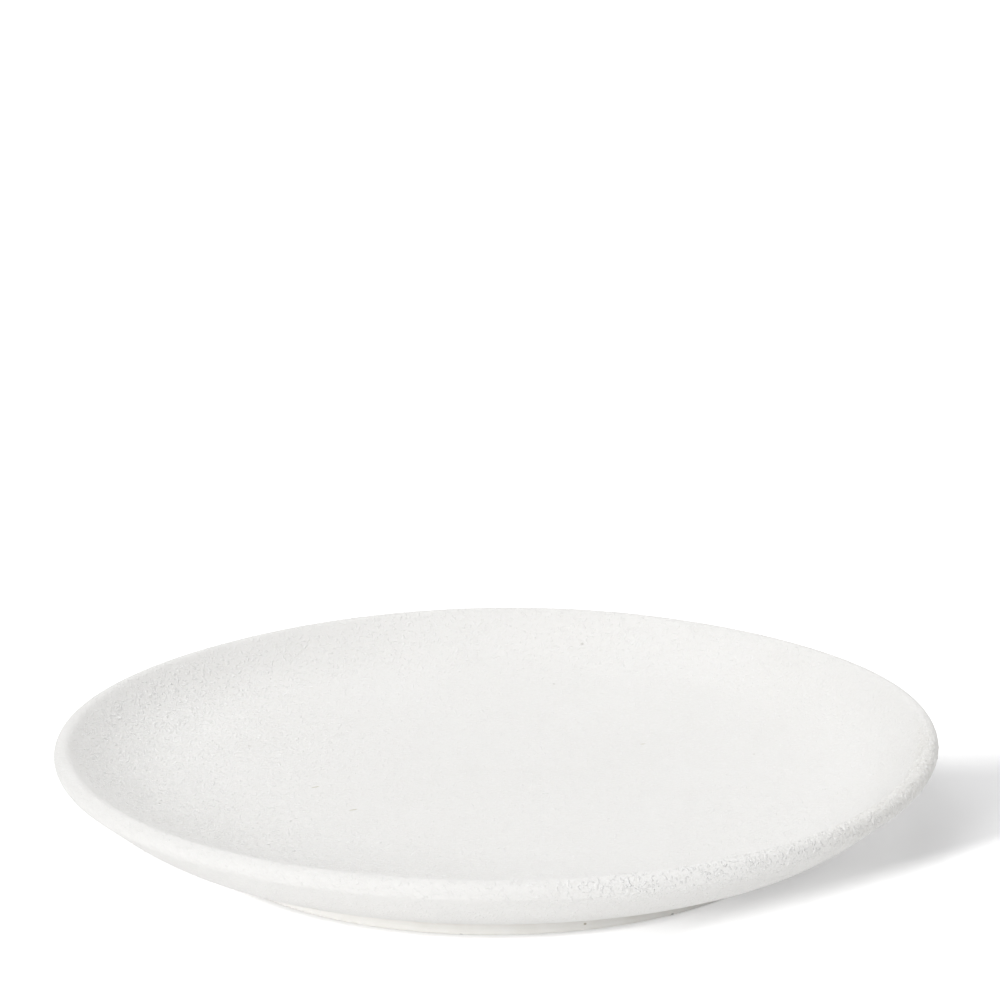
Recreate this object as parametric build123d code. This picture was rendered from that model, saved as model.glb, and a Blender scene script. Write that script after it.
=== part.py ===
"""Candle plate: a shallow round dish of fired clay on a low foot ring, under a gritty white coat.

Frame: origin on the table under the middle of the plate, +Z up, millimetres. Half sections are drawn
with X outwards from the plate's axis and Y up, and then turned about that axis.
"""

from build123d import *
from math import cos, radians, sin, tan
import os

# Finished dish, measured over its coat
PLATE_DIAMETER = 220.0
PLATE_HEIGHT = 25.9
RIM_THICKNESS = 5.1
WALL_SLOPE = 39.0
FLOOR_THICKNESS = 6.0
UNDERSIDE_BEND_RADIUS = 40.0
STRAIGHT_UNDER_LIP = 2.0

# Inside of the dish: a level seat for the candle, a floor that rises gently, and a bend into the wall
SEAT_DIAMETER = 70.0
FLOOR_RISE = 6.5
INSIDE_BEND_RADIUS = 33.0

# White coat, which ends at the foot
COAT_THICKNESS = 0.6

# Foot ring of bare clay, with a recess inside it
FOOT_SETBACK = 35.4
FOOT_WIDTH = 9.0
FOOT_HEIGHT = 6.1
FOOT_EDGE_RADIUS = 0.8
RECESS_DEPTH = 3.5
RECESS_CORNER_RADIUS = 1.5

# Places that follow from the sizes above
LIP_RADIUS = RIM_THICKNESS / 2
LIP_CENTRE = Vector(PLATE_DIAMETER / 2 - LIP_RADIUS, PLATE_HEIGHT - LIP_RADIUS)
FLOOR_LEVEL = FOOT_HEIGHT + FLOOR_THICKNESS
CLAY_FLOOR_LEVEL = FLOOR_LEVEL - COAT_THICKNESS
FOOT_RADIUS = PLATE_DIAMETER / 2 - FOOT_SETBACK
RECESS_RADIUS = FOOT_RADIUS - FOOT_WIDTH
UP_THE_WALL = Vector(cos(radians(WALL_SLOPE)), sin(radians(WALL_SLOPE)))
OUT_OF_THE_WALL = Vector(sin(radians(WALL_SLOPE)), -cos(radians(WALL_SLOPE)))


def bend_into_wall(level, wall_top, bend_radius):
    """Arc from a level line up into the wall line to wall_top, which stays straight under the lip."""
    wall_run = (wall_top.Y - level) / sin(radians(WALL_SLOPE))
    reach_per_radius = tan(radians(WALL_SLOPE / 2))
    radius = min(bend_radius, (wall_run - STRAIGHT_UNDER_LIP) / reach_per_radius)
    corner = wall_top.X - wall_run * cos(radians(WALL_SLOPE))
    return JernArc((corner - radius * reach_per_radius, level), (1, 0), radius, WALL_SLOPE)


def rise_into_wall(floor, wall_top, bend_radius):
    """Arcs from the level seat up into the wall line to wall_top: the floor's gentle rise, then a bend."""
    rise = radians(FLOOR_RISE)
    wall = radians(WALL_SLOPE)
    bend_run = Vector(sin(wall) - sin(rise), cos(rise) - cos(wall)) * bend_radius
    left_to_climb = wall_top - Vector(SEAT_DIAMETER / 2, floor) - bend_run
    below_wall = left_to_climb.X * tan(wall) - left_to_climb.Y
    rise_radius = below_wall / (sin(rise) * tan(wall) - (1 - cos(rise)))
    rising_floor = JernArc((SEAT_DIAMETER / 2, floor), (1, 0), rise_radius, FLOOR_RISE)
    return rising_floor, JernArc(rising_floor @ 1, rising_floor % 1, bend_radius, WALL_SLOPE - FLOOR_RISE)


def dish_section(skin):
    """Half section of the dish, from its axis to its lip, with every face moved inwards by skin."""
    lip_radius = LIP_RADIUS - skin
    lip_outside = LIP_CENTRE + OUT_OF_THE_WALL * lip_radius
    lip_inside = LIP_CENTRE - OUT_OF_THE_WALL * lip_radius
    underside = FOOT_HEIGHT + skin
    floor = FLOOR_LEVEL - skin
    with BuildSketch() as section:
        with BuildLine():
            outer_bend = bend_into_wall(underside, lip_outside, UNDERSIDE_BEND_RADIUS - skin)
            rising_floor, inner_bend = rise_into_wall(floor, lip_inside, INSIDE_BEND_RADIUS + skin)
            Line(outer_bend @ 1, lip_outside)
            JernArc(lip_outside, UP_THE_WALL, lip_radius, 180)
            Line(lip_inside, inner_bend @ 1)
            Polyline(rising_floor @ 0, (0, floor), (0, underside), outer_bend @ 0)
        make_face()
    return section.sketch


def foot_section():
    """Half section of the foot ring and of the clay over its recess, up to the clay's floor."""
    with BuildSketch() as section:
        with BuildLine():
            Polyline(
                (0, RECESS_DEPTH),
                (RECESS_RADIUS, RECESS_DEPTH),
                (RECESS_RADIUS, 0),
                (FOOT_RADIUS, 0),
                (FOOT_RADIUS, CLAY_FLOOR_LEVEL),
                (0, CLAY_FLOOR_LEVEL),
                close=True,
            )
        make_face()
        corners = section.vertices()
        standing_edges = [corners.sort_by_distance((x, 0))[0] for x in (RECESS_RADIUS, FOOT_RADIUS)]
        recess_corner = corners.sort_by_distance((RECESS_RADIUS, RECESS_DEPTH))[0]
        fillet(standing_edges, FOOT_EDGE_RADIUS)
        fillet(recess_corner, RECESS_CORNER_RADIUS)
    return section.sketch


def uncoated_section():
    """Half section of what stays bare: the foot, its recess and all the clay over them."""
    return Rectangle(FOOT_RADIUS, CLAY_FLOOR_LEVEL, align=(Align.MIN, Align.MIN))


def turned(section):
    """The solid of a half section turned about the plate's axis."""
    return revolve(Plane.XZ * section, Axis.Z)


clay_dish = dish_section(COAT_THICKNESS)
pieces = {
    "clay_body": turned(clay_dish + foot_section()),
    "white_coat": turned(dish_section(0) - clay_dish - uncoated_section()),
}

os.makedirs("parts", exist_ok=True)
for name, piece in pieces.items():
    export_step(piece, f"parts/{name}.step")
    print(name, f"{piece.volume / 1000:.1f} cm3", piece.bounding_box().size)
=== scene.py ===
# %% [markdown]
# # A candle plate in white, gritty clay
#
# The plate is one piece of fired clay, a shallow dish on a low foot ring. A matt white coat with sand in it
# covers the inside, the lip and the underside, and the foot stays bare. The construction comes packed from
# CAD as two nodes, `clay_body` and `white_coat`, in metres and in their final place. This script gives both
# a surface: it builds each one again as a fine mesh with the unevenness, sand and turning lines of a
# hand-finished plate, and lets that mesh stand for the plain node.

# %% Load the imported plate
import math
import random

import bmesh
import bpy
from mathutils import Matrix, Vector, noise


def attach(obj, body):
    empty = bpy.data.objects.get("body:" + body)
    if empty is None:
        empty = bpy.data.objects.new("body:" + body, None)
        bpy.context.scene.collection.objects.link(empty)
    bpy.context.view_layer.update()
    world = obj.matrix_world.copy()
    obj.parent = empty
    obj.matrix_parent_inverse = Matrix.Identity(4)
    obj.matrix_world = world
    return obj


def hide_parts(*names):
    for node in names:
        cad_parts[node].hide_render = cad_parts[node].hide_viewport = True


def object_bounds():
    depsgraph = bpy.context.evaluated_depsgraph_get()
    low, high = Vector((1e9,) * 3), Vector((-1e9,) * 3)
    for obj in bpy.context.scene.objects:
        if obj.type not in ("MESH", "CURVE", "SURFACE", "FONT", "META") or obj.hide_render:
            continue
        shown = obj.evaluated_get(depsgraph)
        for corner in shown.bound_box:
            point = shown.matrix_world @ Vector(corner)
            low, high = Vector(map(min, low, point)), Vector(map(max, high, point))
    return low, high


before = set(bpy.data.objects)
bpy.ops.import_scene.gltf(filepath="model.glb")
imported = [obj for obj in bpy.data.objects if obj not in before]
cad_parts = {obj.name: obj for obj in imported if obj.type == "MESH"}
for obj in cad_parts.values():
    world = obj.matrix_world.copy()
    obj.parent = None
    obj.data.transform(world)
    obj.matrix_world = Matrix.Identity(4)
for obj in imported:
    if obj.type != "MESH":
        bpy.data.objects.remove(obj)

cad_low, cad_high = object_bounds()
print("CAD box, mm:", [round(1000 * x, 2) for x in (*cad_low, *cad_high)])

# %% [markdown]
# ## Sizes
#
# The radius and the height come from the frame. The frame has no word for a wall's slope or a bend's
# radius, so those are repeated here as the CAD has them. A height and a radius are enough to place a point
# on a plate, because every piece is turned about the upright axis.

# %% Sizes
MM = 0.001
PLATE_RADIUS = cad_high.x
PLATE_HEIGHT = cad_high.z
RIM_THICKNESS = 5.1 * MM
WALL_SLOPE = math.radians(39)
UNDERSIDE_BEND = 40 * MM
INSIDE_BEND = 33 * MM
SEAT_RADIUS = 35 * MM
FLOOR_RISE = math.radians(6.5)
COAT = 0.6 * MM
FOOT_SETBACK = 35.4 * MM
FOOT_WIDTH = 9 * MM
FOOT_HEIGHT = 6.1 * MM
FLOOR_LEVEL = 12.1 * MM
RECESS_DEPTH = 3.5 * MM
FOOT_EDGE = 0.8 * MM
RECESS_CORNER = 1.5 * MM

LIP_RADIUS = RIM_THICKNESS / 2
LIP_CENTRE = Vector((PLATE_RADIUS - LIP_RADIUS, 0, PLATE_HEIGHT - LIP_RADIUS))
FOOT_RADIUS = PLATE_RADIUS - FOOT_SETBACK
RECESS_RADIUS = FOOT_RADIUS - FOOT_WIDTH
OUT_OF_THE_WALL = Vector((math.sin(WALL_SLOPE), 0, -math.cos(WALL_SLOPE)))
print("Foot radius, mm:", round(FOOT_RADIUS / MM, 2))

# %% [markdown]
# ## Drawing a half section
#
# A turned piece needs only half of its section. A pencil draws it in the upright plane, from point to
# point: a straight stroke is a vertex swept along in even steps, and a round stroke is a vertex that is
# spun about the middle of its arc. So a stroke is as round as its steps are short, and no list of points is
# kept. The line is then spun about the plate's axis. A spin of a thousand short steps is slow, so only a
# slice is spun in short steps, and copies of the slice close the ring.


# %% Pencil for half sections
HAIR = 0.002 * MM
SLICES = 16


class Pencil:
    """Draws a line of edges in the upright plane, as X outwards and Z up."""

    def __init__(self, radius, height):
        self.mesh = bmesh.new()
        self.tip = self.mesh.verts.new((radius, 0, height))
        self.ends = [self.tip.co.copy()]

    def stroke(self, length, step, **path):
        """Sweeps the pencil's tip along a path in equal steps."""
        steps = max(1, round(length / step))
        path = {key: value / steps if key == "dvec" else value for key, value in path.items()}
        made = bmesh.ops.spin(self.mesh, geom=[self.tip], axis=(0, -1, 0), steps=steps, **path)
        self.tip = next(v for v in made["geom_last"] if isinstance(v, bmesh.types.BMVert))
        return self

    def line(self, radius, height, step):
        """A straight stroke to a radius and a height."""
        run = Vector((radius, 0, height)) - self.tip.co
        return self.stroke(run.length, step, dvec=run)

    def arc(self, radius, height, turn, step):
        """A round stroke about the point at radius and height. A positive turn goes from +X towards +Z."""
        centre = Vector((radius, 0, height))
        return self.stroke((self.tip.co - centre).length * abs(turn), step, cent=centre, angle=turn)

    def turned(self, steps):
        """Spins the drawn line round the plate's axis: one slice in short steps, then copies of the slice."""
        self.ends.append(self.tip.co.copy())
        upright = {"cent": (0, 0, 0), "axis": (0, 0, 1)}
        slice_angle = 2 * math.pi / SLICES
        line = self.mesh.verts[:] + self.mesh.edges[:]
        bmesh.ops.spin(self.mesh, geom=line, angle=slice_angle, steps=steps // SLICES, **upright)
        first = self.mesh.verts[:] + self.mesh.edges[:] + self.mesh.faces[:]
        rest_angle = slice_angle * (SLICES - 1)
        bmesh.ops.spin(
            self.mesh, geom=first, angle=rest_angle, steps=SLICES - 1, use_duplicate=True, **upright)
        bmesh.ops.remove_doubles(self.mesh, verts=self.mesh.verts, dist=HAIR)
        return self.mesh


print("Pencil ready")

# %% [markdown]
# ## The faces of the dish
#
# The clay and its coat follow the same dish, one a coat's thickness inside the other. From the middle out
# its face is a level seat, a floor that rises gently, a bend into the straight wall, and the half-round
# lip. On the outside a straight flank comes down and bends into the underside. A typed list of points would
# be wrong as soon as one size changed. So the middle of each arc is worked out from the lines and arcs that
# it touches, and that holds for any depth of skin.


# %% Where a bend starts and ends
def out_and_down(angle, radius):
    """From the middle of an arc to its point where the face has risen to an angle."""
    return Vector((math.sin(angle), 0, -math.cos(angle))) * radius


class DishFace:
    """Places along the face of the dish, with that face moved inwards by skin."""

    def __init__(self, skin):
        self.floor = FLOOR_LEVEL - skin
        self.underside = FOOT_HEIGHT + skin
        self.lip_inside = LIP_CENTRE - OUT_OF_THE_WALL * (LIP_RADIUS - skin)
        self.lip_outside = LIP_CENTRE + OUT_OF_THE_WALL * (LIP_RADIUS - skin)

        flank_corner = self.lip_outside.x - (self.lip_outside.z - self.underside) / math.tan(WALL_SLOPE)
        flank_radius = UNDERSIDE_BEND - skin
        flank_start = flank_corner - flank_radius * math.tan(WALL_SLOPE / 2)
        self.flank_bend = Vector((flank_start, 0, self.underside + flank_radius))
        self.flank_bend_end = self.flank_bend + out_and_down(WALL_SLOPE, flank_radius)

        bend_radius = INSIDE_BEND + skin
        bend_run = out_and_down(WALL_SLOPE, bend_radius) - out_and_down(FLOOR_RISE, bend_radius)
        to_wall = self.lip_inside - Vector((SEAT_RADIUS, 0, self.floor)) - bend_run
        slack = to_wall.x * math.tan(WALL_SLOPE) - to_wall.z
        rise_radius = slack / (math.sin(FLOOR_RISE) * math.tan(WALL_SLOPE) - (1 - math.cos(FLOOR_RISE)))
        self.rise = Vector((SEAT_RADIUS, 0, self.floor + rise_radius))
        self.rise_end = self.rise + out_and_down(FLOOR_RISE, rise_radius)
        self.floor_bend = self.rise_end - out_and_down(FLOOR_RISE, bend_radius)
        self.floor_bend_end = self.floor_bend + out_and_down(WALL_SLOPE, bend_radius)


finished = DishFace(0)
under_coat = DishFace(COAT)
print("Floor meets the wall's bend at, mm:", [round(x / MM, 2) for x in finished.rise_end])

# %% [markdown]
# ## Hand-made unevenness
#
# A thin plate moves in the kiln. Seen against the white backdrop, this rim rises and falls by about half a
# millimetre on its way round, and it is not quite round. Both movements are written as a few waves round
# the rim, each with a count, a height and the angle where its crest starts. The movement grows from nothing
# at the stiff foot to its full amount at the rim. Clay and coat take it together, so one function moves
# both.

# %% Kiln warp
RIM_RISE = ((1, 0.15 * MM, 52), (2, 0.18 * MM, 42), (3, 0.15 * MM, -73), (4, 0.28 * MM, 1))
RIM_REACH = ((2, 0.13 * MM, 111), (3, 0.32 * MM, 159), (4, 0.22 * MM, 72))
RIM_FLAT = 0.5 * MM


def eased(low, high, value):
    """0 below low, 1 above high, and a smooth step between them."""
    share = min(1, max(0, (value - low) / (high - low)))
    return share * share * (3 - 2 * share)


def waves(table, angle):
    """The sum of some waves round the rim at an angle."""
    return sum(height * math.cos(count * angle - math.radians(crest)) for count, height, crest in table)


def warped(place):
    """Where the kiln moves a point of the plate."""
    reach = math.hypot(place.x, place.y)
    share = eased(FOOT_RADIUS, PLATE_RADIUS, reach)
    if not share:
        return place
    angle = math.atan2(place.y, place.x)
    flat = RIM_FLAT * max(0, math.cos(angle)) ** 2
    out = 1 + share * (waves(RIM_REACH, angle) - flat) / reach
    return Vector((place.x * out, place.y * out, place.z + share * waves(RIM_RISE, angle)))


print("Rim rises, mm:", [round(waves(RIM_RISE, math.radians(a)) / MM, 2) for a in range(0, 360, 45)])

# %% [markdown]
# ## The white coat
#
# The coat is a shell that starts at the foot, runs up the flank, turns over the lip and closes across the
# floor. It could be one spin, but then the steps that the rim needs would crowd together at the middle. So
# the face is drawn in bands, each with half the steps of the next one out, and neighbouring bands are
# bridged. The lip gets the finest steps, because its outline shows every grain. The back of the coat lies
# unseen on the clay and stays coarse.

# %% Bands of the coat
SEAT_BANDS = ((0, 9 * MM, 64), (10 * MM, 20 * MM, 128))
RISE_BAND_STARTS = 21 * MM
RISE_BAND_TURN = FLOOR_RISE / 5
RISE_STEPS = 256
WALL_STEPS = 512
LIP_STEPS = 1024
BACK_STEPS = 128
FLOOR_STEP = 1.0 * MM
WALL_STEP = 1.0 * MM
LIP_STEP = 0.5 * MM
FLANK_STEP = 1.2 * MM
BACK_STEP = 5 * MM
LIP_BAND = 4 * MM
BEND_TURN = WALL_SLOPE - FLOOR_RISE
DOWN_THE_WALL = Vector((-math.cos(WALL_SLOPE), 0, -math.sin(WALL_SLOPE)))

bands = []
for inner, outer, steps in SEAT_BANDS:
    bands.append((Pencil(inner, finished.floor).line(outer, finished.floor, FLOOR_STEP), steps))

rise = Pencil(RISE_BAND_STARTS, finished.floor)
rise.line(SEAT_RADIUS, finished.floor, FLOOR_STEP)
rise.arc(finished.rise.x, finished.rise.z, RISE_BAND_TURN, FLOOR_STEP)
bands.append((rise, RISE_STEPS))

rise_radius = finished.rise.z - finished.floor
wall_turn = RISE_BAND_TURN + WALL_STEP / rise_radius
wall_start = finished.rise + out_and_down(wall_turn, rise_radius)
wall = Pencil(wall_start.x, wall_start.z)
wall.arc(finished.rise.x, finished.rise.z, FLOOR_RISE - wall_turn, WALL_STEP)
wall.arc(finished.floor_bend.x, finished.floor_bend.z, BEND_TURN, WALL_STEP)
bands.append((wall, WALL_STEPS))

lip_start = finished.floor_bend_end - DOWN_THE_WALL * LIP_STEP
lip_end = finished.lip_outside + DOWN_THE_WALL * LIP_BAND
lip = Pencil(lip_start.x, lip_start.z)
lip.line(finished.lip_inside.x, finished.lip_inside.z, LIP_STEP)
lip.arc(LIP_CENTRE.x, LIP_CENTRE.z, -math.pi, LIP_STEP)
lip.line(lip_end.x, lip_end.z, LIP_STEP)
bands.append((lip, LIP_STEPS))

flank_start = lip_end + DOWN_THE_WALL * FLANK_STEP
flank = Pencil(flank_start.x, flank_start.z)
flank.line(finished.flank_bend_end.x, finished.flank_bend_end.z, FLANK_STEP)
flank.arc(finished.flank_bend.x, finished.flank_bend.z, -WALL_SLOPE, FLANK_STEP)
flank.line(FOOT_RADIUS, finished.underside, FLANK_STEP)
bands.append((flank, WALL_STEPS))
print("Bands of the outside:", len(bands))

# %% [markdown]
# ## Where coat and clay meet
#
# The back of the coat lies on the clay. Both follow one line, from the foot over the lip to the middle of
# the floor, so one function draws it for both pieces. It is out of sight and takes long steps. Only the
# turn of the lip is drawn fine, because a coarse one would cut through the thin coat.


# %% Back of the coat
def along_the_clay(pencil, step):
    """Draws the clay's face under the coat, from the foot over the lip to the middle of the floor."""
    pencil.line(under_coat.flank_bend.x, under_coat.underside, step)
    pencil.arc(under_coat.flank_bend.x, under_coat.flank_bend.z, WALL_SLOPE, step)
    pencil.line(under_coat.lip_outside.x, under_coat.lip_outside.z, step)
    pencil.arc(LIP_CENTRE.x, LIP_CENTRE.z, math.pi, LIP_STEP)
    pencil.line(under_coat.floor_bend_end.x, under_coat.floor_bend_end.z, step)
    pencil.arc(under_coat.floor_bend.x, under_coat.floor_bend.z, -BEND_TURN, step)
    pencil.arc(under_coat.rise.x, under_coat.rise.z, -FLOOR_RISE, step)
    return pencil.line(0, under_coat.floor, step)


back = along_the_clay(Pencil(FOOT_RADIUS, under_coat.underside), BACK_STEP)
print("Edges of the back:", len(back.mesh.edges))

# %% [markdown]
# ## Closing the coat
#
# Each band is spun by itself. A bridge of faces then joins its outer ring to the inner ring of the next
# band, also where one has twice as many edges as the other. The last bridge is the coat's own edge at the
# foot. With that the shell is closed, and its faces can be turned outwards.


# %% Spin the bands and bridge them
def add_mesh(mesh, other):
    """Puts a copy of another bmesh into a bmesh."""
    passing = bpy.data.meshes.new("passing")
    other.to_mesh(passing)
    other.free()
    mesh.from_mesh(passing)
    bpy.data.meshes.remove(passing)


def ring(edges, place):
    """The open edges on the circle through a place of the half section."""
    return [
        e for e in edges
        if all(
            abs(math.hypot(v.co.x, v.co.y) - place.x) < HAIR and abs(v.co.z - place.z) < HAIR
            for v in e.verts)]


coat = bmesh.new()
for pencil, steps in bands:
    add_mesh(coat, pencil.turned(steps))
outside_count = len(coat.verts)
add_mesh(coat, back.turned(BACK_STEPS))
open_edges = [e for e in coat.edges if e.is_boundary]
drawn = [pencil.ends for pencil, steps in bands] + [back.ends]
for inner, outer in zip(drawn, drawn[1:]):
    bmesh.ops.bridge_loops(coat, edges=ring(open_edges, inner[1]) + ring(open_edges, outer[0]))
bmesh.ops.recalc_face_normals(coat, faces=coat.faces)
coat.normal_update()
print("Coat faces:", len(coat.faces), "still open:", sum(e.is_boundary for e in coat.edges))

# %% [markdown]
# ## Where the sand lies
#
# The coat is thick slip with sand in it, put on by brush and sponge, and the sponge takes the sand along.
# Most of it stays on the lip on one side of the plate and on the inside of the wall on another, in patches.
# The floor and the rest of the lip are nearly smooth. One function says how sandy a place is, and the
# relief, the coarse grains and the finish all ask it. A pair of lengths is where a stretch starts and where
# it has come to its full amount.

# %% How sandy a place is
SANDY_LIP = (320, 32, 52)
SANDY_WALL = (200, 45, 85)
SAND_UP_THE_WALL = (30 * MM, 95 * MM)
LIP_OUTWARDS = (103 * MM, 106 * MM)
LIP_UPWARDS = (17.4 * MM, 20.9 * MM)
WALL_SAND = 0.7
LIP_SAND = 0.8
FLANK_SAND = 0.2
FLOOR_SAND = 0.14
BARE_LIP_SAND = 0.10
PATCH_PER_METRE = 120
PATCH_EDGE = 0.3
PATCH_LEAST = 0.8
PATCH_MORE = 0.2


def near_side(angle, side):
    """1 within the first angle of a side, 0 beyond the second one, in degrees."""
    middle, full, end = side
    return 1 - eased(full, end, abs((angle - middle + 180) % 360 - 180))


def sandy(place, inside):
    """How sandy the coat is at a place inside the dish or outside it, from 0 to 1."""
    reach = math.hypot(place.x, place.y)
    angle = math.degrees(math.atan2(place.y, place.x)) % 360
    wall_share = eased(*SAND_UP_THE_WALL, reach) * near_side(angle, SANDY_WALL)
    ground = FLOOR_SAND + (WALL_SAND - FLOOR_SAND) * wall_share if inside else FLANK_SAND
    lip_sand = BARE_LIP_SAND + (LIP_SAND - BARE_LIP_SAND) * near_side(angle, SANDY_LIP)
    on_lip = eased(*LIP_OUTWARDS, reach) * eased(*LIP_UPWARDS, place.z)
    cloud = noise.noise(place * PATCH_PER_METRE)
    patch = PATCH_LEAST + PATCH_MORE * eased(-PATCH_EDGE, PATCH_EDGE, cloud)
    return (ground + (lip_sand - ground) * on_lip) * patch


sandy_spot = Matrix.Rotation(math.radians(SANDY_LIP[0]), 3, "Z") @ (LIP_CENTRE + Vector((0, 0, LIP_RADIUS)))
print("Sand on the sandy side of the lip:", round(sandy(sandy_spot, True), 2))

# %% [markdown]
# ## Relief of the coat
#
# Three sizes of unevenness lie over each other: slow swells from the hand, lumps of a few millimetres, and
# the crumbs that sand makes under the slip. A bump in the finish could fake them, but not at the outline.
# So they are moved into the mesh. Close to the foot they fade out, so that coat and clay stay together. The
# sand of each place is kept on its vertex, where the finish can read it.

# %% Relief
SWELL = 0.05 * MM
SWELL_PER_METRE = 30
LUMP = 0.02 * MM
LUMP_PER_METRE = 170
CRUMB = 0.06 * MM
CRUMB_PER_METRE = 560
CRUMB_LAYERS = 2
CRUMB_MIDDLE = 0.5
CLEAR_OF_FOOT = 4 * MM


def relief(place, sand):
    """Height of the coat over its smooth face."""
    swell = SWELL * noise.noise(place * SWELL_PER_METRE)
    lump = LUMP * noise.noise(place * LUMP_PER_METRE)
    rough = noise.turbulence(place * CRUMB_PER_METRE, CRUMB_LAYERS, True)
    return swell + lump + CRUMB * sand * (rough - CRUMB_MIDDLE)


sand_layer = coat.verts.layers.float.new("sand")
coat.verts.ensure_lookup_table()
outside = coat.verts[:outside_count]
heights = []
for v in outside:
    inside = v.normal.z > 0
    clear = 1 if inside else eased(0, CLEAR_OF_FOOT, math.hypot(v.co.x, v.co.y) - FOOT_RADIUS)
    v[sand_layer] = sandy(v.co, inside)
    heights.append(clear * relief(v.co, v[sand_layer]))
for v, height in zip(outside, heights):
    v.co += v.normal * height
for v in coat.verts:
    v.co = warped(v.co)
print("Relief, mm:", round(min(heights) / MM, 3), "to", round(max(heights) / MM, 3))

# %% [markdown]
# ## Coarse grains
#
# The coarsest sand stands out of the coat as separate bumps, some single, some run together into short
# worms. The slip has run over each grain, so only a low, round cap of it shows. One cap is cut from a ball
# and closed underneath, and every grain is a copy of it, stretched and turned. Faces of the coat are drawn
# by lot, and a sandy face has more lots, so the grains gather where the sand lies. A spin and a merge leave
# the faces in an order that changes from run to run. So the faces are sorted by the places of their corners
# first, and the draw, which starts from a fixed seed, is the same every time.

# %% One grain
CAP_CUT = 0.4

grain = bmesh.new()
bmesh.ops.create_icosphere(grain, subdivisions=2, radius=1)
everything = grain.verts[:] + grain.edges[:] + grain.faces[:]
bmesh.ops.bisect_plane(
    grain, geom=everything, dist=0.01, plane_co=(0, 0, CAP_CUT), plane_no=(0, 0, 1), clear_inner=True)
bmesh.ops.holes_fill(grain, edges=[e for e in grain.edges if e.is_boundary])
bmesh.ops.translate(grain, verts=grain.verts, vec=(0, 0, -CAP_CUT))
grain_mesh = bpy.data.meshes.new("grain")
grain.to_mesh(grain_mesh)
print("Faces of a grain:", len(grain.faces))
grain.free()

# %% Grains
SEED = 11
GRAINS = 2900
GATHERING = 3
MOSTLY_SMALL = 2
GRAIN_SMALL = 0.24 * MM
GRAIN_LARGE = 0.62 * MM
GRAIN_STRETCH = 2.0
GRAIN_FLAT = 0.5
GRAIN_SINK = 0.03 * MM


def corners(face):
    """The places of a face's corners, in order, by which faces can be sorted."""
    return sorted(tuple(v.co) for v in face.verts)


def sand_on(face):
    """How sandy a face is, as the mean of its corners."""
    return sum(v[sand_layer] for v in face.verts) / len(face.verts)


lot = random.Random(SEED)
visible = sorted((f for f in coat.faces if all(v[sand_layer] > 0 for v in f.verts)), key=corners)
lots = [f.calc_area() * sand_on(f) ** GATHERING for f in visible]
sand_mesh = bmesh.new()
for face in lot.choices(visible, lots, k=GRAINS):
    size = GRAIN_SMALL + (GRAIN_LARGE - GRAIN_SMALL) * lot.random() ** MOSTLY_SMALL
    stretch = 1 + (GRAIN_STRETCH - 1) * lot.random() ** MOSTLY_SMALL
    turn = Matrix.Rotation(lot.uniform(0, math.tau), 4, "Z")
    scale = Matrix.Diagonal((size * stretch, size, size * GRAIN_FLAT, 1))
    lean = face.normal.to_track_quat("Z", "Y").to_matrix().to_4x4()
    place = Matrix.Translation(face.calc_center_median() - face.normal * GRAIN_SINK)
    copy = grain_mesh.copy()
    copy.transform(place @ lean @ turn @ scale)
    sand_mesh.from_mesh(copy)
    bpy.data.meshes.remove(copy)
bpy.data.meshes.remove(grain_mesh)
print("Grains:", GRAINS)

# %% [markdown]
# ## From a bmesh to a piece
#
# A finished piece is a mesh object at the origin, shaded smooth, that rides on the plate's only body and
# hides the imported nodes it stands for.


# %% Hand a mesh over as a piece
def piece(mesh, name, slot, *nodes):
    """Makes an object of a bmesh, rides it on the plate and lets it stand for CAD nodes."""
    data = bpy.data.meshes.new(name)
    mesh.to_mesh(data)
    triangles = sum(len(f.verts) - 2 for f in mesh.faces)
    mesh.free()
    data.shade_smooth()
    made = bpy.data.objects.new(name, data)
    bpy.context.scene.collection.objects.link(made)
    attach(made, "root")
    if nodes:
        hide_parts(*nodes)
    print(name, "has", triangles, "triangles")
    return made


coat_skin = piece(coat, "gritty_coat", "white_coat", "white_coat")
sand_grains = piece(sand_mesh, "sand_grains", "white_coat")

# %% [markdown]
# ## The clay body
#
# Under the coat is the clay itself, and it shows only at the foot. A potter turns the foot on the wheel
# with a loop tool, which leaves fine rings in the recess and level lines up the ring's side. The whole body
# is one closed half section, spun once. Its hidden faces take long steps, and the foot short ones.

# %% Clay body
CLAY_STEPS = 384
RECESS_STEP = 1.2 * MM
FOOT_STEP = 0.6 * MM
FOOT_SIDE_STEP = 0.4 * MM
FOOT_EDGE_STEP = 0.3 * MM
HIDDEN_STEP = 6 * MM
QUARTER = math.pi / 2

body = Pencil(0, RECESS_DEPTH)
body.line(RECESS_RADIUS - RECESS_CORNER, RECESS_DEPTH, RECESS_STEP)
body.arc(RECESS_RADIUS - RECESS_CORNER, RECESS_DEPTH - RECESS_CORNER, -QUARTER, FOOT_STEP)
body.line(RECESS_RADIUS, FOOT_EDGE, FOOT_STEP)
body.arc(RECESS_RADIUS + FOOT_EDGE, FOOT_EDGE, QUARTER, FOOT_EDGE_STEP)
body.line(FOOT_RADIUS - FOOT_EDGE, 0, FOOT_STEP)
body.arc(FOOT_RADIUS - FOOT_EDGE, FOOT_EDGE, QUARTER, FOOT_EDGE_STEP)
body.line(FOOT_RADIUS, under_coat.underside, FOOT_SIDE_STEP)
clay = along_the_clay(body, HIDDEN_STEP).turned(CLAY_STEPS)
bmesh.ops.recalc_face_normals(clay, faces=clay.faces)
clay.normal_update()
print("Clay faces:", len(clay.faces), "still open:", sum(e.is_boundary for e in clay.edges))

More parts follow.
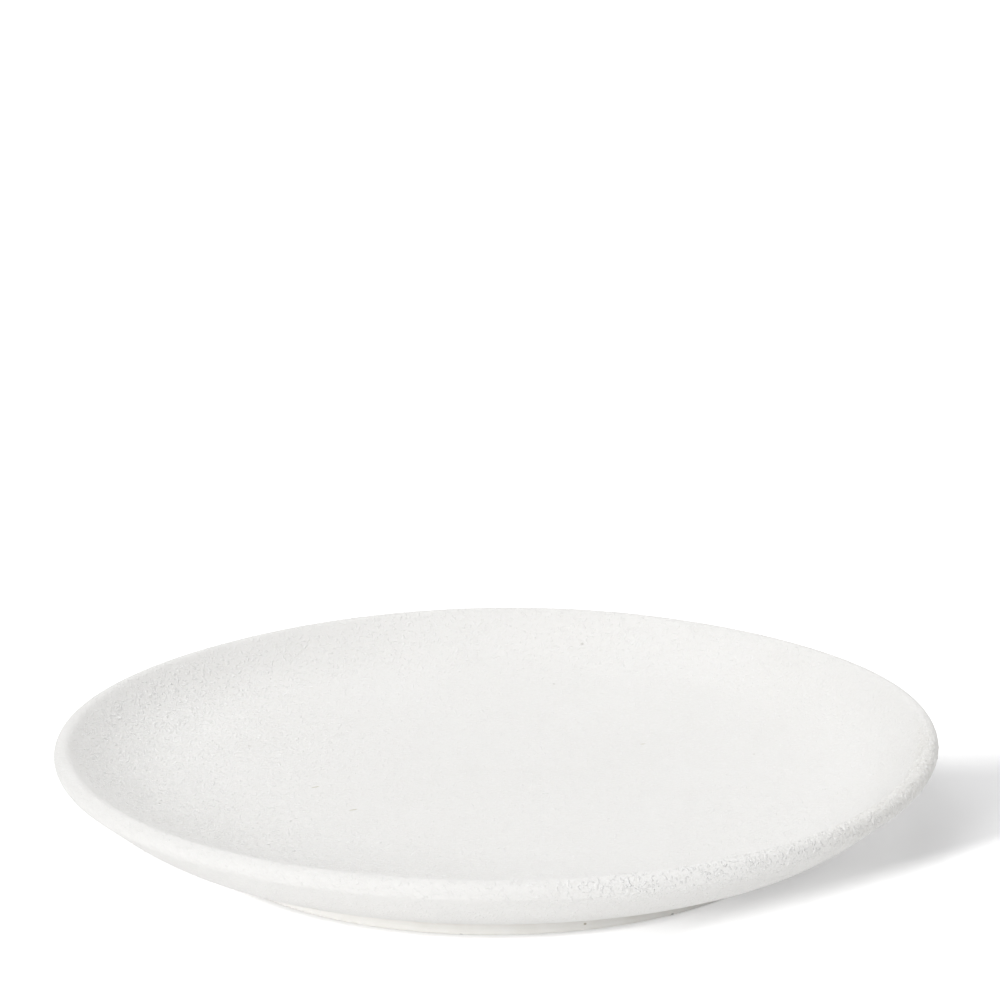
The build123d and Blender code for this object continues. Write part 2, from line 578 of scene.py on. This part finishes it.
# %% [markdown]
# ## Turning lines
#
# A steady tool on a turning piece leaves one long spiral on a level face and level lines on an upright one.
# The spiral is a wave over the radius that shifts with the angle, the lines are a wave over the height, and
# a noise stands for the chatter of the tool. Points of the bare clay move along their normals, and none of
# them goes below the table.

# %% Turning lines on the foot
RING_DEPTH = 0.06 * MM
RING_SPACING = 2.6 * MM
LINE_DEPTH = 0.025 * MM
LINE_SPACING = 1.1 * MM
CHATTER = 0.05 * MM
CHATTER_PER_METRE = 240


def turning(place, normal):
    """How far the loop tool left the bare clay proud of its plain face."""
    angle = math.atan2(place.y, place.x)
    reach = math.hypot(place.x, place.y)
    level_face = abs(normal.z)
    rings = RING_DEPTH * math.sin(2 * math.pi * reach / RING_SPACING + angle)
    lines = LINE_DEPTH * math.sin(2 * math.pi * place.z / LINE_SPACING)
    chatter = CHATTER * noise.noise(place * CHATTER_PER_METRE)
    return level_face * rings + (1 - level_face) * lines + chatter


bare = [v for v in clay.verts if v.co.z < under_coat.underside - HAIR]
moves = [turning(v.co, v.normal) for v in bare]
for v, move in zip(bare, moves):
    v.co += v.normal * move
    v.co.z = max(0, v.co.z)
for v in clay.verts:
    v.co = warped(v.co)
clay_piece = piece(clay, "turned_clay", "bare_clay", "clay_body")

# %% [markdown]
# ## Writing materials as sums
#
# A material is a net of nodes, and most of the nodes only do arithmetic. A small class wraps a socket, so
# that `1 - mask` or `a * b` adds the Math node it stands for. Every other node comes from one method. Two
# kinds come back so often that they have a name of their own: a smooth step and a mix of two colours.


# %% Values in a material
class Value:
    """A socket of a material that Python's operators work on."""

    def __init__(self, tree, socket=None):
        self.tree = tree
        self.socket = socket

    def node(self, kind, settings, sockets, output=0):
        """Adds a node: its settings first, then its sockets, as numbers or as other values."""
        made = self.tree.nodes.new(kind)
        for key, setting in settings.items():
            if key == "stops":
                ramp = made.color_ramp.elements
                while len(ramp) < len(setting):
                    ramp.new(1)
                for element, (position, colour) in zip(ramp, setting):
                    element.position = position
                    element.color = (*colour, 1)
            else:
                setattr(made, key, setting)
        for key, value in sockets.items():
            if isinstance(value, Value):
                self.tree.links.new(value.socket, made.inputs[key])
            else:
                made.inputs[key].default_value = value
        return Value(self.tree, made.outputs[output])

    def step(self, low, high):
        """0 up to low, 1 from high on, and smooth between them. A low above high turns it round."""
        soft = {"interpolation_type": "SMOOTHSTEP"}
        return self.node("ShaderNodeMapRange", soft, {"Value": self, "From Min": low, "From Max": high})

    def mixed(self, first, second):
        """The first colour where this value is 0, and the second where it is 1."""
        return self.node("ShaderNodeMix", {"data_type": "RGBA"}, {"Factor": self, 6: first, 7: second}, 2)

    def maths(self, operation, first, second):
        return self.node("ShaderNodeMath", {"operation": operation}, {0: first, 1: second})

    def __add__(self, other):
        return self.maths("ADD", self, other)

    def __mul__(self, other):
        return self.maths("MULTIPLY", self, other)

    def __sub__(self, other):
        return self.maths("SUBTRACT", self, other)

    def __rsub__(self, other):
        return self.maths("SUBTRACT", other, self)

    __radd__ = __add__
    __rmul__ = __mul__


def finish(name):
    """A new material and its first value, which starts every chain of nodes."""
    material = bpy.data.materials.new(name)
    material.use_nodes = True
    return material, Value(material.node_tree)


def shade(material, values):
    """Sets sockets of the material's own shader, as numbers or as values."""
    shader = material.node_tree.nodes["Principled BSDF"]
    for key, value in values.items():
        if isinstance(value, Value):
            material.node_tree.links.new(value.socket, shader.inputs[key])
        else:
            shader.inputs[key].default_value = value


print("Material helper ready")

# %% [markdown]
# ## White coat, its grit
#
# The coat is a chalky, warm white without gloss, and never one flat white: brushing leaves broad clouds in
# it, and the slip has a fine speckle. Grit too small for the mesh is a fine noise everywhere, and single
# grains. The grains are cells of a Voronoi pattern, each a low dome, bent by a noise so that no two are
# alike. The mesh carries an attribute that says how sandy a place is, and each cell draws a lot against it.
# So about half of the cells hold a grain where there is much sand, and few do elsewhere.

# %% Grit of the white coat
CLOUDS_PER_METRE = 38.0
SPECKLE_PER_METRE = 900.0
FINE_GRIT_PER_METRE = 1150
GRIT_PER_METRE = 950
GRIT_SHARE = 0.65
DOME_EDGE = 0.45
DOME_TOP = 0.05
PUSH_PER_METRE = 700.0
PUSH = 0.9 * MM


def soft_noise(spot, per_metre, detail, output=0):
    """A noise over the surface: how many waves it has to the metre, and how many finer layers."""
    sockets = {"Vector": spot, "Scale": per_metre, "Detail": detail}
    return spot.node("ShaderNodeTexNoise", {}, sockets, output)


def cells(spot, per_metre, output):
    """Round cells over the surface: the Distance to a cell's middle, or a Color as the lot it draws."""
    return spot.node("ShaderNodeTexVoronoi", {"feature": "F1"}, {"Vector": spot, "Scale": per_metre}, output)


white_finish, white = finish("white_gritty_coat")
spot = white.node("ShaderNodeTexCoord", {}, {}, "Object")
sand = white.node("ShaderNodeAttribute", {"attribute_name": "sand"}, {}, "Fac")
clouds = soft_noise(spot, CLOUDS_PER_METRE, 3.0)
speckle = soft_noise(spot, SPECKLE_PER_METRE, 2.0)
fine = soft_noise(spot, FINE_GRIT_PER_METRE, 2.0)
push = soft_noise(spot, PUSH_PER_METRE, 1.0, "Color")
bent_spot = white.node(
    "ShaderNodeVectorMath", {"operation": "MULTIPLY_ADD"}, {0: push, 1: 3 * [PUSH], 2: spot})
dome = cells(bent_spot, GRIT_PER_METRE, "Distance").step(DOME_EDGE, DOME_TOP)
grit_lot = cells(bent_spot, GRIT_PER_METRE, "Color")
grit = dome * white.maths("LESS_THAN", grit_lot, GRIT_SHARE * sand)
print("Grit cells per centimetre:", GRIT_PER_METRE / 100)

# %% [markdown]
# ## Pits and straws
#
# Slip is not sieved, so a few bits of straw stay in it, and bubbles leave pits. Some pits are scattered by
# lot. The marks that show in the photograph are listed one by one, in a table of place, turn in degrees,
# length and width. Each is a small ellipsoid round its place: a Mapping node in texture mode turns the
# plate's coordinates into the ellipsoid's own, where its surface is at 1.

# %% Pits and straws
STRAWS = (
    (-45.8, -1.7, 12.25, 36, 2.7, 0.55),
    (-35.8, -19.0, 12.15, 29, 2.6, 0.55),
    (37.0, 30.4, 12.3, 10, 1.6, 0.4),
    (-43.0, -84.2, 10.65, -29, 3.2, 0.5),
)
PITS = ((22.7, 95.2, 19.5, 0, 1.0, 1.0), (-63.7, 27.9, 13.4, 0, 1.1, 1.1), (14.8, 76.3, 14.2, 0, 0.9, 0.9))
MARK_HEIGHT = 2.0
MARK_EDGE = 1.1
MARK_CORE = 0.6
PITS_PER_METRE = 110
PIT_SHARE = 0.1
PIT_EDGE = 0.055
PIT_CORE = 0.03


def distance_out(spot):
    """How far a spot is from the zero of its coordinates."""
    return spot.node("ShaderNodeVectorMath", {"operation": "LENGTH"}, {0: spot}, "Value")


def marks(spot, table, height):
    """1 inside the marks of a table, whose lengths are in millimetres, and 0 outside them."""
    found = 0.0
    for x, y, z, turn, length, width in table:
        local = spot.node("ShaderNodeMapping", {"vector_type": "TEXTURE"}, {
            "Vector": spot,
            "Location": Vector((x, y, z)) * MM,
            "Rotation": (0, 0, math.radians(turn)),
            "Scale": Vector((length, width, height)) * MM / 2})
        found = found + distance_out(local).step(MARK_EDGE, MARK_CORE)
    return found


straw = marks(spot, STRAWS, MARK_HEIGHT)
pit_distance = cells(spot, PITS_PER_METRE, "Distance")
near_pit = white.node(
    "ShaderNodeMapRange", {}, {"Value": pit_distance, "From Min": PIT_EDGE, "From Max": PIT_CORE})
drawn_pit = near_pit * white.maths("LESS_THAN", cells(spot, PITS_PER_METRE, "Color"), PIT_SHARE)
pit = drawn_pit + marks(spot, PITS, MARK_HEIGHT)
print("Straws and pits set by hand:", len(STRAWS) + len(PITS))

# %% [markdown]
# ## White coat, its colour
#
# Crests of the grit are rubbed to a chalky white and painted lighter as a highlight, and the hollows are
# darkened by dust and by painted shade. Both are stronger where there is more sand, and thick sand is painted
# paler as a whole, which lifts the shade its bumps cast. Towards the +X end of the sandy stretch of the lip,
# painted shade darkens the coat. Pits are coloured darker. The crests, the grains and the pits also feed a
# bump, so light finds them too.

# %% Colour and bump of the white coat
WHITES = ((0.3, (0.860, 0.852, 0.835)), (0.5, (0.870, 0.863, 0.848)), (0.7, (0.879, 0.873, 0.860)))
PIT_COLOUR = (0.72, 0.705, 0.68, 1)
STRAW = (0.60, 0.57, 0.47, 1)
CREST_RUB_AND_HIGHLIGHT = (0.965, 0.960, 0.950, 1)
HOLLOW_DUST_AND_SHADE = (0.760, 0.745, 0.710, 1)
CLOUD_SHARE = 0.6
SPECKLE_SHARE = 0.4
FINE_CREST = (0.51, 0.70)
FINE_HOLLOW = (0.48, 0.28)
RIGHT_SHADE_SPAN = (55 * MM, 98 * MM)
CREST_ANYWHERE = 0.15
CREST_IN_SAND = 1.1
CREST_OF_GRAIN = 0.5
SAND_PAINTED_PALER = 0.6
HOLLOW_ANYWHERE = 0.1
HOLLOW_IN_SAND = 0.5
PAINTED_SHADE_ON_RIGHT = 0.75
GRIT_HEIGHT = 0.1 * MM
FINE_IN_SAND = 1.6
GRAIN_IN_SAND = 1.1
COAT_ROUGH = 0.86
SPECKLE_ROUGH = 0.1


def distance_towards(spot, side):
    """How far a spot lies out towards a side, which is an angle in degrees from +X."""
    ahead = Vector((math.cos(math.radians(side)), math.sin(math.radians(side)), 0))
    return spot.node("ShaderNodeVectorMath", {"operation": "DOT_PRODUCT"}, {0: spot, 1: ahead}, "Value")


cloudy = clouds * CLOUD_SHARE + speckle * SPECKLE_SHARE
brushed = white.node("ShaderNodeValToRGB", {"stops": WHITES}, {"Fac": cloudy})
fine_crest = fine.step(*FINE_CREST)
fine_hollow = fine.step(*FINE_HOLLOW)
# Painted shade: the sandy lip is darkened towards the +X side.
right_side_shade = distance_towards(spot, 0).step(*RIGHT_SHADE_SPAN)
# Crests are painted lighter as a highlight as well as rubbed white, and thick sand is painted paler to lift
# the shade of its bumps.
crest = (CREST_ANYWHERE + CREST_IN_SAND * sand) * fine_crest
crest = crest + CREST_OF_GRAIN * sand * grit + SAND_PAINTED_PALER * sand * sand
# Hollows are darkened by painted shade as well as by dust.
hollow_shade_and_dust = (HOLLOW_ANYWHERE + HOLLOW_IN_SAND * sand) * fine_hollow + PAINTED_SHADE_ON_RIGHT * sand * sand * right_side_shade
dust_and_painted_light = hollow_shade_and_dust.mixed(crest.mixed(brushed, CREST_RUB_AND_HIGHLIGHT), HOLLOW_DUST_AND_SHADE)
# Pits take a darker colour.
coat_colour = straw.mixed(pit.mixed(dust_and_painted_light, PIT_COLOUR), STRAW)
grain_height = (1.0 + FINE_IN_SAND * sand) * fine_crest + GRAIN_IN_SAND * sand * grit - pit
coat_bump = white.node(
    "ShaderNodeBump", {}, {"Height": grain_height, "Strength": 1.0, "Distance": GRIT_HEIGHT})
shade(white_finish, {
    "Base Color": coat_colour,
    "Roughness": COAT_ROUGH + SPECKLE_ROUGH * speckle,
    "Specular IOR Level": 0.2,
    "Normal": coat_bump,
})
coat_skin.data.materials.append(white_finish)
sand_grains.data.materials.append(white_finish)
print("White coat nodes:", len(white_finish.node_tree.nodes))

# %% [markdown]
# ## Bare clay, the finish
#
# The fired clay at the foot is a little warmer and smoother than the coat. Level streaks follow the
# turning: they are a noise squeezed flat by a Mapping node. A few iron specks sit in the body, one pinhole
# in the foot's side is a dark spot of painted shade, and the clay has the dull gloss of unglazed stoneware.

# %% Finish of the bare clay
CLAYS = ((0.3, (0.83, 0.81, 0.77)), (0.5, (0.868, 0.856, 0.825)), (0.7, (0.89, 0.882, 0.862)))
STREAKS_PER_METRE = (30.0, 30.0, 900.0)
MOTTLE_PER_METRE = 260.0
IRON_PER_METRE = 170.0
IRON_CORE = 0.06
IRON_EDGE = 0.10
IRON_DARK = 0.6
PINHOLE = ((20.0, -71.9, 1.7, 0, 0.8, 1.6),)
PINHOLE_HEIGHT = 0.6
PINHOLE_PAINTED_SHADE = (0.50, 0.46, 0.39, 1)
CLAY_ROUGH = 0.7
MOTTLE_ROUGH = 0.15
CLAY_GRAIN = 0.1 * MM

clay_finish, earth = finish("bare_fired_clay")
spot = earth.node("ShaderNodeTexCoord", {}, {}, "Object")
stretched = earth.node("ShaderNodeMapping", {}, {"Vector": spot, "Scale": STREAKS_PER_METRE})
mottle = soft_noise(spot, MOTTLE_PER_METRE, 4.0)
clay_tone = soft_noise(stretched, 1.0, 3.0) * 0.5 + mottle * 0.5
fired = earth.node("ShaderNodeValToRGB", {"stops": CLAYS}, {"Fac": clay_tone})
speck = earth.node("ShaderNodeMapRange", {}, {
    "Value": cells(spot, IRON_PER_METRE, "Distance"),
    "From Min": IRON_CORE, "From Max": IRON_EDGE, "To Min": IRON_DARK})
specked = earth.node(
    "ShaderNodeMix", {"data_type": "RGBA", "blend_type": "MULTIPLY"}, {"Factor": 1.0, 6: fired, 7: speck}, 2)
clay_bump = earth.node(
    "ShaderNodeBump", {}, {"Height": clay_tone, "Strength": 0.4, "Distance": CLAY_GRAIN})
shade(clay_finish, {
    # The pinhole is a dark spot of painted shade.
    "Base Color": marks(spot, PINHOLE, PINHOLE_HEIGHT).mixed(specked, PINHOLE_PAINTED_SHADE),
    "Roughness": CLAY_ROUGH + MOTTLE_ROUGH * mottle,
    "Specular IOR Level": 0.35,
    "Normal": clay_bump,
})
clay_piece.data.materials.append(clay_finish)
print("Bare clay nodes:", len(clay_finish.node_tree.nodes))

# %% [markdown]
# ## Floor
#
# A white plate on white paper is drawn by its shadow alone, so the floor is one wide, level sheet that
# takes the shadow.

# %% Floor
FLOOR_SIZE = 14.0
FLOOR_PARTS = 8

floor_mesh = bmesh.new()
bmesh.ops.create_grid(floor_mesh, x_segments=FLOOR_PARTS, y_segments=FLOOR_PARTS, size=FLOOR_SIZE / 2)
floor_data = bpy.data.meshes.new("studio_floor")
floor_mesh.to_mesh(floor_data)
floor_mesh.free()
floor = bpy.data.objects.new("studio_floor", floor_data)
bpy.context.scene.collection.objects.link(floor)
print("Floor, m:", FLOOR_SIZE)

# %% [markdown]
# ## White paper
#
# Close in front of the foot the paper glows a little, as a shooting table lit from below does. That lights
# the foot and the flank from underneath, and the camera doesn't see it. The camera sees a greyer paper,
# which deepens the shadow on it, lifted to white outside a painted region of shade, so the shadow's borders
# are painted. That region lies in front on the right: it ends along a slanting line, towards the back, on the
# left and far out. Under the rim painted light lifts it a little, and at the foot not at all, so a thin line
# of contact stays. Light Path tells the camera's rays from the others, and each border is a smooth step over
# a distance on the floor.

# %% Finish of the paper
PAPER = (0.97, 0.97, 0.97, 1)
PAPER_SEEN_DARKER = (0.89, 0.89, 0.895, 1)
GLOW_SIDE = 258
GLOW_FADE_IN = 75 * MM
GLOW_FALL = (92 * MM, 135 * MM)
GLOW_LEVEL = 0.20
SHADE_SIDE = -53.5
SHADE_LINE = 85.8 * MM
SHADE_SOFT = 9 * MM
RIGHT_SIDE = 0
BACK_SIDE = 90
SHADE_BACK = (35 * MM, 85 * MM)
SHADE_LEFT = (60 * MM, 10 * MM)
SHADE_FAR = (145 * MM, 210 * MM)
CONTACT = (FOOT_RADIUS - 1.5 * MM, FOOT_RADIUS + 4 * MM)
UNDER_RIM = (108 * MM, 82 * MM)
PAINTED_LIGHT_UNDER_RIM = 0.30
LIFT_ELSEWHERE = 0.6

floor_finish, paper = finish("white_paper")
spot = paper.node("ShaderNodeTexCoord", {}, {}, "Object")
seen = paper.node("ShaderNodeLightPath", {}, {}, "Is Camera Ray")
far = distance_out(spot)
in_front = distance_towards(spot, GLOW_SIDE).step(0.0, GLOW_FADE_IN)
glow = GLOW_LEVEL * in_front * (1 - far.step(*GLOW_FALL))
outside_painted_shade = distance_towards(spot, SHADE_SIDE).step(SHADE_LINE - SHADE_SOFT, SHADE_LINE + SHADE_SOFT)
past_back = distance_towards(spot, BACK_SIDE).step(*SHADE_BACK)
past_left = distance_towards(spot, RIGHT_SIDE).step(*SHADE_LEFT)
for past_border in (past_back, past_left, far.step(*SHADE_FAR)):
    outside_painted_shade = paper.maths("MAXIMUM", outside_painted_shade, past_border)
# Painted light for the camera: white outside the painted shade, and a little under the rim.
lift = LIFT_ELSEWHERE * outside_painted_shade * far.step(*CONTACT)
lift = lift + PAINTED_LIGHT_UNDER_RIM * far.step(*UNDER_RIM) * (1 - outside_painted_shade)
# The camera sees a greyer paper, which deepens the painted shade.
shade(floor_finish, {
    "Base Color": seen.mixed(PAPER, PAPER_SEEN_DARKER),
    "Roughness": 1.0,
    "Specular IOR Level": 0.0,
    "Emission Color": glow * (1 - seen) + lift * seen,
    "Emission Strength": 1.0,
})
floor_data.materials.append(floor_finish)
print("Paper nodes:", len(floor_finish.node_tree.nodes))

# %% [markdown]
# ## Lamps
#
# Four wide, soft lamps stand round the table, on the right, behind, on the left and in front on the left.
# The front one is the main lamp. It is low, so it looks in under the rim, finds the foot and throws the
# shadow to the right. Each row gives a lamp's side, height and width in degrees, and its share of the light
# on the floor. All the shares and the room's come to about 1, so colours render as they are written. Sun
# lamps keep that share the same all over the floor, where near lamps would fall off.

# %% Lamps
LAMPS = {
    "right_lamp": (357, 50, 40, 0.171),
    "back_lamp": (80, 38, 40, 0.163),
    "left_lamp": (178, 64, 44, 0.230),
    "main_lamp": (240, 19.5, 16, 0.157),
}

for name, (side, height, width, share) in LAMPS.items():
    lamp = bpy.data.lights.new(name, "SUN")
    lamp.energy = share * math.pi / math.sin(math.radians(height))
    lamp.angle = math.radians(width)
    stand = bpy.data.objects.new(name, lamp)
    towards = Vector((math.cos(math.radians(height)), 0, math.sin(math.radians(height))))
    towards.rotate(Matrix.Rotation(math.radians(side), 3, "Z"))
    stand.rotation_euler = towards.to_track_quat("Z", "Y").to_euler()
    bpy.context.scene.collection.objects.link(stand)
print("Light of the lamps on the floor:", round(sum(share for *place, share in LAMPS.values()), 2))

# %% [markdown]
# ## White room
#
# The room fills in between the lamps. As a light it is a dim, even white, and to the camera, to mirrors and
# to glass it is plain white, so the paper has no horizon.

# %% White room
ROOM_LEVEL = 0.262

world = bpy.data.worlds.new("white_room")
world.use_nodes = True
bpy.context.scene.world = world
air = Value(world.node_tree)
seen = air.node("ShaderNodeLightPath", {}, {}, "Is Camera Ray")
mirrored = air.node("ShaderNodeLightPath", {}, {}, "Is Glossy Ray")
through = air.node("ShaderNodeLightPath", {}, {}, "Is Transmission Ray")
background = world.node_tree.nodes["Background"]
background.inputs["Color"].default_value = (1, 1, 1, 1)
room = ROOM_LEVEL + (1 - ROOM_LEVEL) * (seen + mirrored + through)
world.node_tree.links.new(room.socket, background.inputs["Strength"])
print("Light of the room on the floor:", ROOM_LEVEL)

# %% [markdown]
# ## Camera
#
# The photograph is taken with a long lens from a little over a metre away, about nineteen degrees above the
# table. The plate sits low in the frame, so the camera looks over it rather than at it. It is also rolled
# by half a degree. Its place, its tilt and its lens were fitted to the outline of the plate.

# %% Camera
CAMERA_PLACE = Vector((0.00083, -1.0381, 0.3641))
CAMERA_DOWN = math.radians(15.02)
CAMERA_ROLL = math.radians(0.46)
LENS = 157.6
SEES_AS_FAR_AS = 50

ahead = Vector((0, math.cos(CAMERA_DOWN), -math.sin(CAMERA_DOWN)))
level_right = Vector((1, 0, 0))
level_up = level_right.cross(ahead)
camera_up = level_up * math.cos(CAMERA_ROLL) + level_right * math.sin(CAMERA_ROLL)
camera_right = ahead.cross(camera_up)
camera_data = bpy.data.cameras.new("camera")
camera_data.lens = LENS
camera_data.clip_end = SEES_AS_FAR_AS
camera = bpy.data.objects.new("camera", camera_data)
camera.matrix_world = Matrix.Translation(CAMERA_PLACE) @ Matrix(
    (camera_right, camera_up, -ahead)).transposed().to_4x4()
bpy.context.scene.collection.objects.link(camera)
bpy.context.scene.camera = camera
bpy.context.scene.view_settings.view_transform = "Standard"
print("Camera to plate, m:", round(CAMERA_PLACE.length, 3))
